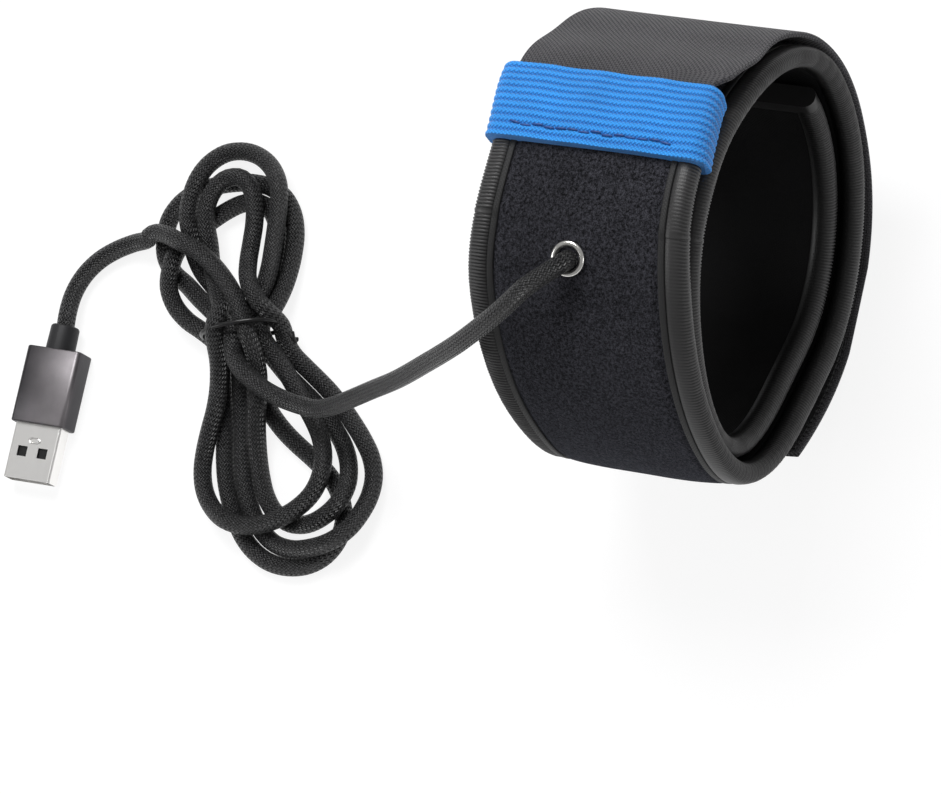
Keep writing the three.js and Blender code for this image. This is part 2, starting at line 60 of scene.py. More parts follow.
bpy.context.scene.camera = camera
bpy.context.scene.view_settings.view_transform = "Standard"


# The lead is 4.2 mm cord in a tight braid over two wires. It leaves the eyelet, falls to the floor, is folded
# nine times through one tie, and runs on to the plug. All of it is in view, so this is its whole length.
def lay_line(points, spacing):
    """A smooth line through given points, cut into even steps."""
    points = np.asarray(points, float)
    knots = np.concatenate([[0], np.cumsum(np.sqrt(np.linalg.norm(np.diff(points, axis=0), axis=1)))])
    slopes = np.gradient(points, knots, axis=0)
    dense = []
    for i in range(len(points) - 1):
        gap = knots[i + 1] - knots[i]
        t = np.linspace(0, 1, 24, endpoint=False)[:, None]
        dense.append((2 * t**3 - 3 * t**2 + 1) * points[i] + (t**3 - 2 * t**2 + t) * gap * slopes[i]
                     + (3 * t**2 - 2 * t**3) * points[i + 1] + (t**3 - t**2) * gap * slopes[i + 1])
    dense = np.concatenate(dense + [points[-1:]])
    travelled = np.concatenate([[0], np.cumsum(np.linalg.norm(np.diff(dense, axis=0), axis=1))])
    places = np.linspace(0, travelled[-1], max(2, round(travelled[-1] / spacing) + 1))
    return np.stack([np.interp(places, travelled, dense[:, k]) for k in range(3)], axis=1)


def skin(name, rows, along, girth, closed=True, capped=True):
    """A mesh over rows of points in millimetres. Its UV is the distance along and around, in metres."""
    count, size = rows.shape[:2]
    wrap = size if closed else size - 1
    i = np.repeat(np.arange(count - 1), wrap)
    j = np.tile(np.arange(wrap), count - 1)
    a, b = i * size + j, i * size + (j + 1) % size
    faces = np.stack([a, b, b + size, a + size], axis=1).tolist()
    corners = np.stack([along[i], girth[j], along[i], girth[j + 1],
                        along[i + 1], girth[j + 1], along[i + 1], girth[j]], axis=1).reshape(-1, 2)
    if capped:
        faces += [list(range(size))[::-1], list(range((count - 1) * size, count * size))]
        caps = np.stack([np.full(size, along[0]), girth[:size]], axis=1)
        corners = np.concatenate([corners, caps[::-1], caps + (along[-1] - along[0], 0)])
    mesh = bpy.data.meshes.new(name)
    mesh.from_pydata((rows.reshape(-1, 3) * 0.001).tolist(), [], faces)
    mesh.uv_layers.new(name="laid").data.foreach_set("uv", (corners * 0.001).ravel())
    travelled = mesh.attributes.new(name="travelled", type="FLOAT", domain="POINT")
    travelled.data.foreach_set("value", np.repeat(along * 0.001, size))
    shape = bmesh.new()
    shape.from_mesh(mesh)
    bmesh.ops.recalc_face_normals(shape, faces=shape.faces)
    shape.to_mesh(mesh)
    shape.free()
    mesh.shade_smooth()
    mesh.set_sharp_from_angle(angle=math.radians(50))
    piece = bpy.data.objects.new(name, mesh)
    bpy.context.scene.collection.objects.link(piece)
    return piece


def tube(name, line, thickness, sides=20):
    """A round cord along a line, without twist."""
    line = np.asarray(line, float)
    heading = np.gradient(line, axis=0)
    heading /= np.linalg.norm(heading, axis=1)[:, None]
    side = np.cross(heading[0], (0.3, 0.2, 0.9))
    rows = []
    turns = np.arange(sides) * 2 * np.pi / sides
    for place, ahead in zip(line, heading):
        side = side - ahead * side.dot(ahead)
        side /= np.linalg.norm(side)
        other = np.cross(ahead, side)
        rows.append(place + thickness / 2 * (np.outer(np.cos(turns), side) + np.outer(np.sin(turns), other)))
    along = np.concatenate([[0], np.cumsum(np.linalg.norm(np.diff(line, axis=0), axis=1))])
    return skin(name, np.array(rows), along, np.linspace(0, np.pi * thickness, sides + 1))


cord_width = 4.2
hank_place = np.array((2, 3, 0))
waist = np.array((-26, 113, 0))
waist_side = np.array((-0.309, 0.951, 0))
sight_x, sight_y = camera_back.x / camera_back.z, camera_back.y / camera_back.z


def held(side, height):
    """A place in the bundle under the tie: how far to the left of its middle, and how high."""
    return [tuple(waist + waist_side * side + (0, 0, height))]


def fold(height, *places):
    """A run of the lead as the camera sees it at 5 mm, lifted along its lines of sight to its own height."""
    return [(x + (height - 5) * sight_x, y + (height - 5) * sight_y, height) for x, y in places]


plug_run = [(-29.5, 162, 3.5), (-27.5, 162, 3.5), (-25.5, 162.2, 3.5), (-23, 162.6, 3.3), (-18.5, 162, 2.3),
            (-14, 160, 2.2), (-10, 156, 2.3), (-7, 150.5, 3), (-6, 146.6, 4.2)]
ring_run = [(-41, 89, 16.8), (-40.5, 82, 22.5), (-40, 76, 29), (-39, 66, 40), (-38.5, 53, 56), (-37, 39, 73.5),
            (-36, 32, 82), (-34.5, 26, 88.5), (-32.5, 21.5, 92.5), (-30, 16.8, 96.3), (-27.2, 12.8, 99),
            (-23.6, 9, 100.7)]
over_hank = [(-7, 136, 14), (-8, 129, 16), (-11, 123, 16), (-15, 118.5, 15)]
from_hank = [(-31, 112, 13), (-36, 107, 14), (-40, 100.5, 14.5), (-42, 94, 15)]
coils = (
    held(-2.1, 11.2)
    + fold(10, (-33, 108), (-47, 105), (-58, 102), (-65, 98), (-69, 91), (-66, 84), (-61, 80), (-52, 80), (-41, 89),
           (-36, 95))
    + held(-2.1, 3.9)
    + fold(6, (-19, 109), (-10, 109), (-5, 109), (2, 110), (6, 114), (5, 119), (3, 122), (0, 125), (-5, 128),
           (-9, 132), (-14, 135), (-19, 135), (-24, 131), (-27, 126))
    + held(6.3, 3.9)
    + fold(3, (-35, 117), (-45, 114), (-53, 112), (-64, 108), (-69, 105), (-73, 102), (-77, 97), (-78, 90), (-76, 84),
           (-72, 79), (-67, 77), (-61, 79), (-55, 84), (-50, 94), (-43, 104), (-37, 108))
    + held(0, 7.5)
    + fold(10, (-17, 111), (-9, 111), (-2, 112), (5, 112), (11, 114), (15, 118), (16, 124), (15, 129), (10, 133),
           (3, 135), (-2, 135), (-8, 133), (-13, 129), (-17, 125))
    + held(2.1, 3.9)
    + fold(6, (-37, 112), (-43, 110), (-51, 108), (-59, 106), (-66, 103), (-72, 98), (-75, 91), (-73, 84), (-68, 78),
           (-61, 74), (-55, 73), (-49, 76), (-44, 82), (-39, 88), (-36, 95), (-32, 101))
    + held(-6.3, 3.9)
    + fold(14, (-18, 114), (-11, 116), (-4, 116), (3, 117), (8, 119), (11, 122), (11, 126), (8, 129), (4, 131),
           (-3, 131), (-8, 128), (-13, 125), (-20, 119))
    + held(4.2, 7.5)
    + fold(15, (-38, 116), (-44, 115), (-48, 115), (-55, 116), (-62, 115), (-67, 112), (-70, 106), (-70, 99),
           (-66, 92), (-61, 87), (-55, 86), (-49, 87), (-44, 90), (-37, 97), (-31, 103))
    + held(-4.2, 7.5)
    + fold(3, (-19, 107), (-12, 106), (-5, 106), (0, 107), (5, 109), (8, 114), (9, 119), (8, 125), (7, 130), (5, 135),
           (1, 138), (-4, 140), (-9, 139), (-13, 135), (-16, 129), (-20, 123))
    + held(2.1, 11.2)
)
washer_low, washer_high = (np.array(corner) * 1000 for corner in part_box("eyelet_washer"))
eyelet_axis = np.array((-0.31, 0, 0.951))
eyelet_seat = (washer_low + washer_high) / 2 + 1.2 * eyelet_axis
out_of_eyelet = [tuple(eyelet_seat + rise * eyelet_axis + lean * np.array((-0.8, 0.55, -0.25)))
                 for rise, lean in ((3.6, 1.6), (0.4, 0.1), (-1.6, -0.5))]
shifted = [tuple(np.array(p) + hank_place) for p in over_hank + coils + from_hank]
lead_line = lay_line(plug_run + shifted + ring_run + out_of_eyelet, 2.4)

# The folds settle on the floor and on each other: every step they sink, stay stiff, and push apart. Points
# closer than five along the lead are neighbours, and the tie holds what lies within its reach.
settling_steps, last_steps = 420, 90
sinking, last_sinking = 0.1, 0.02
smoothing_passes = 7
sideways_stiffness, upward_stiffness = 0.4, 0.45
drift_kept, tie_pull, push_share = 0.98, 0.15, 0.8
eased_in = 8
neighbours = 5
tie_reach, tie_width = 16, 3
room = cord_width + 0.2
starts = np.linalg.norm(lead_line - plug_run[-1], axis=1).argmin()
leaves = np.linalg.norm(lead_line - ring_run[0], axis=1).argmin()
free = np.zeros(len(lead_line))
free[starts:leaves] = 1
for i in range(eased_in):
    free[starts + i] = free[leaves - 1 - i] = i / eased_in
under_tie = np.exp(-(((lead_line[:, :2] - (waist + hank_place)[:2]) @ np.array((0.951, 0.309))) / tie_width) ** 2)
under_tie[np.linalg.norm(lead_line[:, :2] - (waist + hank_place)[:2], axis=1) > tie_reach] = 0
for _ in range(smoothing_passes):
    eased = (lead_line[:-2] + lead_line[2:]) / 2 - lead_line[1:-1]
    lead_line[1:-1] += 0.5 * free[1:-1, None] * eased
laid = lead_line.copy()
order = np.arange(len(lead_line))
strangers = np.abs(order[:, None] - order[None, :]) > neighbours
for step in range(settling_steps):
    moved = lead_line.copy()
    moved[:, 2] -= (sinking if step < settling_steps - last_steps else last_sinking) * (1 - under_tie)
    sight = np.outer(moved[:, 2] - laid[:, 2], (sight_x, sight_y))
    drift = moved[:, :2] - laid[:, :2] - sight
    drift[1:-1] += sideways_stiffness * ((drift[:-2] + drift[2:]) / 2 - drift[1:-1])
    moved[:, :2] = laid[:, :2] + sight + drift_kept * drift
    moved[1:-1, 2] += upward_stiffness * ((moved[:-2, 2] + moved[2:, 2]) / 2 - moved[1:-1, 2])
    moved += under_tie[:, None] * tie_pull * (laid - moved)
    apart = moved[:, None, :] - moved[None, :, :]
    distance = np.linalg.norm(apart, axis=2) + 1e-6
    close = strangers & (distance < room)
    push = np.where(close, (room - distance) / distance, 0)[:, :, None] * apart
    moved += push_share * push.sum(axis=1) / np.maximum(close.sum(axis=1), 1)[:, None] ** 0.5
    moved[:, 2] = np.maximum(moved[:, 2], cord_width / 2 + 0.05)
    lead_line += free[:, None] * (moved - lead_line)
lead_line = lay_line(np.concatenate([lead_line[::-1][:-1:2], lead_line[:1]]), 1.2)
lead = tube("braided_lead", lead_line, cord_width)


def put(tree, kind, inputs=None, **settings):
    """A node with its settings, and its inputs by name: a value, or the socket that feeds it."""
    node = tree.nodes.new(kind)
    for key, value in settings.items():
        setattr(node, key, value)
    for key, value in (inputs or {}).items():
        if isinstance(value, bpy.types.NodeSocket):
            tree.links.new(value, node.inputs[key])
        else:
            node.inputs[key].default_value = value
    return node


def reckon(tree, operation, *values, **settings):
    return put(tree, "ShaderNodeMath", dict(enumerate(values)), operation=operation, **settings).outputs[0]


def new_group(name, kind, inputs, outputs):
    """An empty node group with named sockets: its tree, its inputs by name, and its way out."""
    tree = bpy.data.node_groups.new(name, kind)
    for label, sort, value in inputs:
        socket = tree.interface.new_socket(label, in_out="INPUT", socket_type=sort)
        if value is not None:
            socket.default_value = value
    for label, sort in outputs:
        tree.interface.new_socket(label, in_out="OUTPUT", socket_type=sort)
    way_in = tree.nodes.new("NodeGroupInput").outputs
    way_out = tree.nodes.new("NodeGroupOutput").inputs
    return tree, way_in, way_out


def new_finish(name, slot_name, roughness=0.7, **settings):
    """A material with its Principled shader, and the slot that it belongs to."""
    look = bpy.data.materials.new(name)
    look.use_nodes = True
    tree = look.node_tree
    shader = tree.nodes["Principled BSDF"]
    shader.inputs["Roughness"].default_value = roughness
    for key, value in settings.items():
        shader.inputs[key.replace("_", " ").title().replace("Ior", "IOR")].default_value = value
    look["slot"] = slot_name
    return look, tree, shader


def finish(piece, look, *nodes):
    """Gives a piece its finish and its place on the one body, and hides the solids it stands for."""
    piece.data.materials.clear()
    piece.data.materials.append(look)
    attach(piece, "root")
    if nodes:
        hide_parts(*nodes)
    return piece


# Threads that pass over and under each other, for everything woven or braided on the object.
weave, way_in, way_out = new_group(
    "over_and_under", "ShaderNodeTree",
    [("Across", "NodeSocketFloat", 0.0), ("Along", "NodeSocketFloat", 0.0)],
    [("Height", "NodeSocketFloat")])
bulges = []
for label in ("Across", "Along"):
    part = reckon(weave, "FRACT", way_in[label])
    bulges.append(reckon(weave, "SINE", reckon(weave, "MULTIPLY", part, math.pi)))
steps = reckon(weave, "ADD", reckon(weave, "FLOOR", way_in["Across"]), reckon(weave, "FLOOR", way_in["Along"]))
over = reckon(weave, "FLOORED_MODULO", steps, 2.0)
height = put(weave, "ShaderNodeMix", {"Factor": over, "A": bulges[0], "B": bulges[1]}, data_type="FLOAT")
weave.links.new(height.outputs[0], way_out["Height"])

# Handling marks: the slow change of tone that cloth and metal pick up.
marks, way_in, way_out = new_group(
    "handling_marks", "ShaderNodeTree",
    [("Size", "NodeSocketFloat", 0.02), ("Low", "NodeSocketFloat", 0.85), ("High", "NodeSocketFloat", 1.15)],
    [("Tone", "NodeSocketFloat")])
where = put(marks, "ShaderNodeTexCoord").outputs["Object"]
fine = reckon(marks, "DIVIDE", 1.0, way_in["Size"])
cloud = put(marks, "ShaderNodeTexNoise", {"Vector": where, "Scale": fine, "Detail": 4.0, "Roughness": 0.6})
tone = put(marks, "ShaderNodeMapRange", {"Value": cloud.outputs["Fac"], "From Min": 0.3, "From Max": 0.7,
                                         "To Min": way_in["Low"], "To Max": way_in["High"]})
marks.links.new(tone.outputs["Result"], way_out["Tone"])


def paint(tree, shader, colour, size=0.02, low=0.85, high=1.15):
    """Gives a shader a colour with handling marks in it."""
    group = tree.nodes.new("ShaderNodeGroup")
    group.node_tree = marks
    for key, value in (("Size", size), ("Low", low), ("High", high)):
        group.inputs[key].default_value = value
    scaled = put(tree, "ShaderNodeVectorMath", {1: group.outputs["Tone"]}, operation="MULTIPLY")
    if isinstance(colour, bpy.types.NodeSocket):
        tree.links.new(colour, scaled.inputs[0])
    else:
        scaled.inputs[0].default_value = colour
    tree.links.new(scaled.outputs[0], shader.inputs["Base Color"])


def threads(tree, across, along):
    """How high the threads stand, from the two counts of threads."""
    group = tree.nodes.new("ShaderNodeGroup")
    group.node_tree = weave
    for key, value in (("Across", across), ("Along", along)):
        tree.links.new(value, group.inputs[key])
    return group.outputs["Height"]


def laid_on(tree):
    """The distances along and around a piece."""
    place = put(tree, "ShaderNodeSeparateXYZ", {"Vector": put(tree, "ShaderNodeUVMap", uv_map="laid").outputs["UV"]})
    return place.outputs["X"], place.outputs["Y"]


def object_space(tree):
    """The place in the piece's own space."""
    return put(tree, "ShaderNodeTexCoord").outputs["Object"]


def woven(tree, length, width):
    """How high a plain weave stands, from the size of one thread crossing."""
    along, around = laid_on(tree)
    return threads(tree, reckon(tree, "MULTIPLY", along, 1 / length), reckon(tree, "MULTIPLY", around, 1 / width))


def fine_noise(tree, scale, **more):
    """Fine noise in the object's own space."""
    inputs = {key.title(): value for key, value in more.items()}
    return put(tree, "ShaderNodeTexNoise", {"Vector": object_space(tree), "Scale": scale, **inputs}).outputs["Fac"]


def blend(tree, share, dark, light):
    """A colour between a dark and a light one."""
    shade = put(tree, "ShaderNodeMix", {"Factor": share}, data_type="RGBA")
    for place, colour in ((6, dark), (7, light)):
        shade.inputs[place].default_value = (*colour, 1)
    return shade.outputs[2]


def between(tree, value, low, high):
    """How far a value stands between two limits, from 0 to 1."""
    return put(tree, "ShaderNodeMapRange", {"Value": value, "From Min": low, "From Max": high}).outputs["Result"]


def raise_surface(tree, shader, height, strength, depth):
    """Bumps for what is too small to model."""
    bump = put(tree, "ShaderNodeBump", {"Strength": strength, "Distance": depth, "Height": height})
    tree.links.new(bump.outputs["Normal"], shader.inputs["Normal"])


def brushed(tree, shader, stretch, detail, shiniest, dullest):
    """Fine lines along the metal, seen in how dull it is."""
    stretched = put(tree, "ShaderNodeMapping", {"Vector": object_space(tree), "Scale": stretch}).outputs[0]
    lines = put(tree, "ShaderNodeTexNoise", {"Vector": stretched, "Scale": 1.0, "Detail": detail}).outputs["Fac"]
    dull = put(tree, "ShaderNodeMapRange", {"Value": lines, "To Min": shiniest, "To Max": dullest})
    tree.links.new(dull.outputs["Result"], shader.inputs["Roughness"])


braid, tree, shader = new_finish("braided_cover", "braid", roughness=0.4, specular_ior_level=0.6)
along, around = laid_on(tree)
round_count = reckon(tree, "MULTIPLY", around, 18 / (math.pi * cord_width * 0.001))
run_count = reckon(tree, "MULTIPLY", along, 1 / 0.00105)
slant = reckon(tree, "ADD", round_count, run_count)
back_slant = reckon(tree, "SUBTRACT", round_count, run_count)
height = threads(tree, slant, back_slant)
speck = fine_noise(tree, 1900.0, detail=2.0)
# The colour follows the threads' height: near black in the dips between them and grey on their crests. This is
# painted shade in the dips and painted highlights on the crests, broken up by random specks.
bright = reckon(tree, "MULTIPLY", height, speck)
ramp = between(tree, bright, 0.28, 0.62)
shade = blend(tree, ramp, (0.0015, 0.0015, 0.002), (0.062, 0.062, 0.064))
paint(tree, shader, shade)
raise_surface(tree, shader, height, 0.9, 0.0005)
finish(lead, braid, "ring_lead", "plug_lead", "cord_hank")


# The floor is pale and keeps the object's soft shadow. The light is a plain studio: one broad lamp above, a
# weaker one from the picture's left, and white all round.
floor = bpy.data.objects.new("floor", bpy.data.meshes.new("floor"))
floor.data.from_pydata([(-6, -6, 0), (6, -6, 0), (6, 6, 0), (-6, 6, 0)], [], [(0, 1, 2, 3)])
bpy.context.scene.collection.objects.link(floor)
pale = bpy.data.materials.new("pale_floor")
pale.use_nodes = True
tree = pale.node_tree
tree.nodes.remove(tree.nodes["Principled BSDF"])
rays = put(tree, "ShaderNodeLightPath").outputs
seen = reckon(tree, "MAXIMUM", rays["Is Camera Ray"],
              reckon(tree, "MAXIMUM", rays["Is Glossy Ray"], rays["Is Transmission Ray"]))
matte = put(tree, "ShaderNodeBsdfDiffuse", {"Color": (0.86, 0.86, 0.87, 1)})
glow = put(tree, "ShaderNodeEmission", {"Color": (1, 1, 1, 1), "Strength": 1.13})
lifted = put(tree, "ShaderNodeMixShader", {0: 0.76, 1: matte.outputs[0], 2: glow.outputs[0]})
chosen = put(tree, "ShaderNodeMixShader", {0: seen, 1: matte.outputs[0], 2: lifted.outputs[0]})
tree.links.new(chosen.outputs[0], tree.nodes["Material Output"].inputs["Surface"])
floor.data.materials.append(pale)

world = bpy.data.worlds.new("studio")
bpy.context.scene.world = world
world.use_nodes = True
tree = world.node_tree
rays = put(tree, "ShaderNodeLightPath").outputs
seen = reckon(tree, "MAXIMUM", rays["Is Camera Ray"], rays["Is Transmission Ray"])
strength = put(tree, "ShaderNodeMapRange", {"Value": seen, "To Min": 0.3, "To Max": 1.0})
tree.links.new(strength.outputs["Result"], tree.nodes["Background"].inputs["Strength"])
tree.nodes["Background"].inputs["Color"].default_value = (1, 1, 1, 1)

for name, place, size, power in (("key_lamp", (0.55, 0.25, 1.0), 0.5, 9.0),
                                 ("side_lamp", (-0.35, 0.9, 0.7), 0.4, 2.6),
                                 ("front_lamp", (-0.2, -1.1, 0.5), 0.5, 1.6)):
    lamp = bpy.data.lights.new(name, "AREA")
    lamp.size = size
    lamp.energy = power
    holder = bpy.data.objects.new(name, lamp)
    holder.location = place
    holder.rotation_euler = (Vector(place) - Vector((0, 0.05, 0.04))).to_track_quat("Z", "Y").to_euler()
    bpy.context.scene.collection.objects.link(holder)


# The belt's own winding: nearly two turns round the bore, its first end tucked inside, its outer end lying
# over the first. Angles are in degrees round the ring and grow outward with the turns.
ring_middle = np.array((0.52, -0.775, 50.6))
belt_start, belt_end = 112.5, 756
layers_start = belt_start + 4.6
half_belt = 24.75
table_level = -50.6


def ease(x, start, end):
    """A smooth step from 0 to 1 between two places."""
    t = np.clip((np.asarray(x, float) - start) / (end - start), 0, 1)
    return t * t * (3 - 2 * t)


def first_turn(angle):
    """The inner turn's radius: an uneven round, with its dents and bulges."""
    dents = ((112, 30, -1.2), (222, 24, -3.6), (270, 20, 2.1), (322, 28, -1.6))
    return 39.8 + sum(height * np.exp(-((((angle % 360) - at) / spread) ** 2)) for at, spread, height in dents)


def belt_radius(angle):
    """The belt climbs over its own first end, and again over the strap's sewn end."""
    return first_turn(angle) + 5.65 * ease(angle, 401, 472.5) + 1.1 * ease(angle, 691.5, 729)


def bump_at(angle, at, spread):
    """A smooth hump of height 1 at one angle."""
    return np.exp(-(((np.asarray(angle, float) - at) / spread) ** 2))


def belt_drift(angle):
    """The belt isn't wound quite square, so its edges drift across the ring."""
    drift = 2.95 - 0.8 * ease(angle, 240, 350) - 3.4 * ease(angle, 385, 470) + 3.1 * ease(angle, 620, 725)
    return drift + 0.5 * bump_at(angle, 702, 26) - 1.0 * bump_at(angle, 642, 20)


def belt_lie(angle, across):
    """The keeper squeezes the belt's outer end, and its edges curl in a little where it meets the table."""
    narrow = 1 - 0.05 * ease(angle, 700, 736) + 0.02 * bump_at(angle, 702, 26) - 0.04 * bump_at(angle, 642, 20)
    curl = bump_at(angle, 628, 18) * (np.abs(across) / 24.7) ** 4 * np.where(across > 0, 1.5, 0.9)
    return across * narrow + belt_drift(angle), -curl


def keeper_lie(angle, across):
    return across + belt_drift(angle), 0


def strap_lie(angle, across):
    """It drifts toward the front opening, and its near edge is gathered under the keeper."""
    near_edge = ease(-across, 5, 20) * (1.2 * bump_at(angle, 56, 10) - 3.0 * (1 - ease(angle, 39.5, 45)))
    return across + 1.4 - 3.9 * ease(angle, 58, 118) - near_edge, 0


def strap_radius(angle):
    """The strap leaves the keeper, spans down to the belt, and its tail stands off the belt's back."""
    turn = angle % 360
    bridge = 1.4 * ease(turn, 45, 70) * (1 - ease(turn, 80, 115))
    over_keeper = belt_radius(np.minimum(turn + 720, belt_end)) + 3.4
    over_belt = belt_radius(turn + 360) + 3.4 + bridge
    on_belt = over_keeper + (over_belt - over_keeper) * ease(turn, 40, 75)
    tail = 50.8 - 1.6 * ease(turn, 195, 232)
    bulge = 0.8 * bump_at(turn, 72, 9) - 0.9 * bump_at(turn, 108, 20) + 0.7 * bump_at(turn, 162, 20)
    return on_belt + bulge + (tail - on_belt) * ease(turn, 135, 180)


def wound(name, path, start, end, spacing, section, lie=belt_lie, floor_level=None, wander=None, **settings):
    """A piece wound round the ring: its section is a closed loop of places across and heights above its path."""
    steps = max(2, round(math.radians(end - start) * 45 / spacing) + 1)
    angles = np.linspace(start, end, steps)
    section = np.asarray(section, float)

    def at(degrees):
        turn = np.radians(100 - degrees)
        return np.stack([np.cos(turn), np.zeros_like(turn), np.sin(turn)], axis=1) * path(degrees)[:, None]

    ahead = at(angles + 0.5) - at(angles - 0.5)
    ahead /= np.linalg.norm(ahead, axis=1)[:, None]
    outward = np.stack([-ahead[:, 2], np.zeros(steps), ahead[:, 0]], axis=1)
    across, height = (np.broadcast_to(section[..., k], (steps, section.shape[-2])).copy() for k in (0, 1))
    if wander:
        across, height = wander(angles[:, None], across, height)
    sideways, lifted = lie(angles[:, None], across)
    rows = at(angles)[:, None, :] + outward[:, None, :] * (height + lifted)[:, :, None]
    rows[:, :, 1] = sideways
    if floor_level is not None:
        rows[:, :, 2] = np.maximum(rows[:, :, 2], floor_level - height)
    centre = at(angles)
    along = np.concatenate([[0], np.cumsum(np.linalg.norm(np.diff(centre, axis=0), axis=1))])
    loop = section if section.ndim == 2 else section[0]
    girth = np.concatenate([[0], np.cumsum(np.linalg.norm(np.diff(np.vstack([loop, loop[:1]]), axis=0), axis=1))])
    return skin(name, rows + ring_middle, along, girth, **settings)


def rounded_band(left, right, low, high, corner, steps=4, between=12):
    """A closed loop round a flat band whose two edges are rounded."""
    corner = min(corner, (high - low) / 2)

    def quarters(*starts):
        return [(middle_x + corner * math.cos(math.radians(turn + 90 * k / steps)),
                 middle_z + corner * math.sin(math.radians(turn + 90 * k / steps)))
                for middle_x, middle_z, turn in starts for k in range(steps + 1)]

    loop = [(x, low) for x in np.linspace(left + corner, right - corner, between)]
    loop += quarters((right - corner, low + corner, -90), (right - corner, high - corner, 0))
    loop += [(x, high) for x in np.linspace(right - corner, left + corner, between)]
    loop += quarters((left + corner, high - corner, 90), (left + corner, low + corner, 180))
    kept = [loop[0]]
    for point in loop[1:]:
        if math.dist(point, kept[-1]) > 1e-4 and math.dist(point, kept[0]) > 1e-4:
            kept.append(point)
    return kept


def soft(angle, across, height):
    """Padding is never quite even."""
    give = 0.12 * np.sin(np.radians(angle * 3.1) + across * 0.11)
    give += 0.08 * np.sin(np.radians(angle * 7.3) - across * 0.23)
    return across, height + give * (1 - (across / 27) ** 2)


# The lining is smooth near-black cloth on the side that touches the telescope.
lining = wound("lining_cloth", belt_radius, layers_start, belt_end, 1.3,
               rounded_band(-23.6, 23.6, -2.05, -1.5, 0.2, 2, 16), wander=soft)
cloth, tree, shader = new_finish("lining_cloth", "lining", roughness=0.7, specular_ior_level=0.12)
height = woven(tree, 0.0004, 0.0004)
paint(tree, shader, (0.0034, 0.0034, 0.0036), 0.03, 0.6, 1.5)
raise_surface(tree, shader, height, 0.3, 0.0001)
finish(lining, cloth, "inner_lining")


# The padding is a strip of soft foam between the film and the velour.
padding = wound("foam_padding", belt_radius, layers_start, belt_end, 2.5,
                rounded_band(-23.5, 23.5, -0.8, 0.95, 0.6, 3, 10), wander=soft)
spongy, tree, shader = new_finish("soft_foam", "foam", roughness=0.95)
cells = put(tree, "ShaderNodeTexVoronoi", {"Vector": object_space(tree), "Scale": 1400.0})
paint(tree, shader, (0.022, 0.022, 0.024), 0.01)
raise_surface(tree, shader, cells.outputs["Distance"], 0.7, 0.0003)
finish(padding, spongy, "foam_core")


# The face panel is short-pile velour. It crowns a little over the padding and dips at its sewn edges.
def face_section():
    top = []
    for x in np.linspace(-23.5, 23.5, 75):
        edge = abs(x)
        crown = 2.45 - 0.3 * (edge / 18) ** 2
        dip = 0.5 * math.exp(-(((edge - 18.2) / 0.5) ** 2))
        under = 0.6 * float(ease(edge, 18.4, 20))
        top.append((x, crown - dip - under))
    return [(x, 1.15) for x in np.linspace(23.5, -23.5, 20)][::-1] + top[::-1]


face = wound("velour_panel", belt_radius, layers_start, belt_end, 1.0, face_section(), wander=soft)
pile, tree, shader = new_finish("velour_pile", "velour", roughness=0.95, sheen_weight=0.1, sheen_roughness=0.4,
                                specular_ior_level=0.1)
shader.inputs["Sheen Tint"].default_value = (0.75, 0.8, 1.0, 1)
tufts = fine_noise(tree, 1500.0, detail=3.0, roughness=0.7)
fibres = fine_noise(tree, 3600.0, detail=2.0, roughness=0.8)
mixed = reckon(tree, "MULTIPLY_ADD", fibres, 0.5, reckon(tree, "MULTIPLY", tufts, 0.5))
ramp = between(tree, mixed, 0.42, 0.62)
shade = blend(tree, ramp, (0.002, 0.002, 0.0025), (0.060, 0.060, 0.072))
paint(tree, shader, shade)
raise_surface(tree, shader, mixed, 0.8, 0.0006)
finish(face, pile, "velour_face")


# Ribbed tape is folded over both long edges and sewn through. Its ribs cross the edge and are strongest where
# it turns, because the flat of it is pressed smooth.
rib_pitch = 0.00072
rib_tree, way_in, way_out = new_group(
    "pressed_ribs", "GeometryNodeTree",
    [("Geometry", "NodeSocketGeometry", None), ("Pitch", "NodeSocketFloat", rib_pitch),
     ("Height", "NodeSocketFloat", 0.0001), ("Finish", "NodeSocketMaterial", None)],
    [("Geometry", "NodeSocketGeometry")])
travelled, strong = (
    put(rib_tree, "GeometryNodeInputNamedAttribute", {"Name": label}, data_type="FLOAT").outputs["Attribute"]
    for label in ("travelled", "ribbed"))
phase = reckon(rib_tree, "MULTIPLY", reckon(rib_tree, "DIVIDE", travelled, way_in["Pitch"]), 2 * math.pi)
wave = reckon(rib_tree, "MULTIPLY", reckon(rib_tree, "SINE", phase), way_in["Height"])
rise = reckon(rib_tree, "MULTIPLY", wave, strong)
lift = put(rib_tree, "ShaderNodeVectorMath", {0: put(rib_tree, "GeometryNodeInputNormal").outputs[0], "Scale": rise},
           operation="SCALE")
ribbed = put(rib_tree, "GeometryNodeSetPosition", {"Geometry": way_in["Geometry"], "Offset": lift.outputs[0]})
dressed = put(rib_tree, "GeometryNodeSetMaterial", {"Geometry": ribbed.outputs[0], "Material": way_in["Finish"]})
rib_tree.links.new(dressed.outputs[0], way_out["Geometry"])


def grown(piece, tree, **values):
    """Runs a piece through a geometry tree with its named inputs, and keeps the result as its plain mesh."""
    modifier = piece.modifiers.new("grown", "NODES")
    modifier.node_group = tree
    for item in tree.interface.items_tree:
        if item.item_type == "SOCKET" and item.in_out == "INPUT" and item.name in values:
            modifier[item.identifier] = values[item.name]
    depsgraph = bpy.context.evaluated_depsgraph_get()
    result = bpy.data.meshes.new_from_object(piece.evaluated_get(depsgraph), preserve_all_data_layers=True,
                                             depsgraph=depsgraph)
    piece.modifiers.clear()
    piece.data = result
    result.name = piece.name
    return piece


def mark(piece, label, values):
    """A value for each point of a piece's section, row after row: how strongly it is ribbed, or how much light is
    painted on it.
    """
    count = len(piece.data.vertices) // len(values)
    spot = piece.data.attributes.new(name=label, type="FLOAT", domain="POINT")
    spot.data.foreach_set("value", np.tile(np.array(values, float), count))


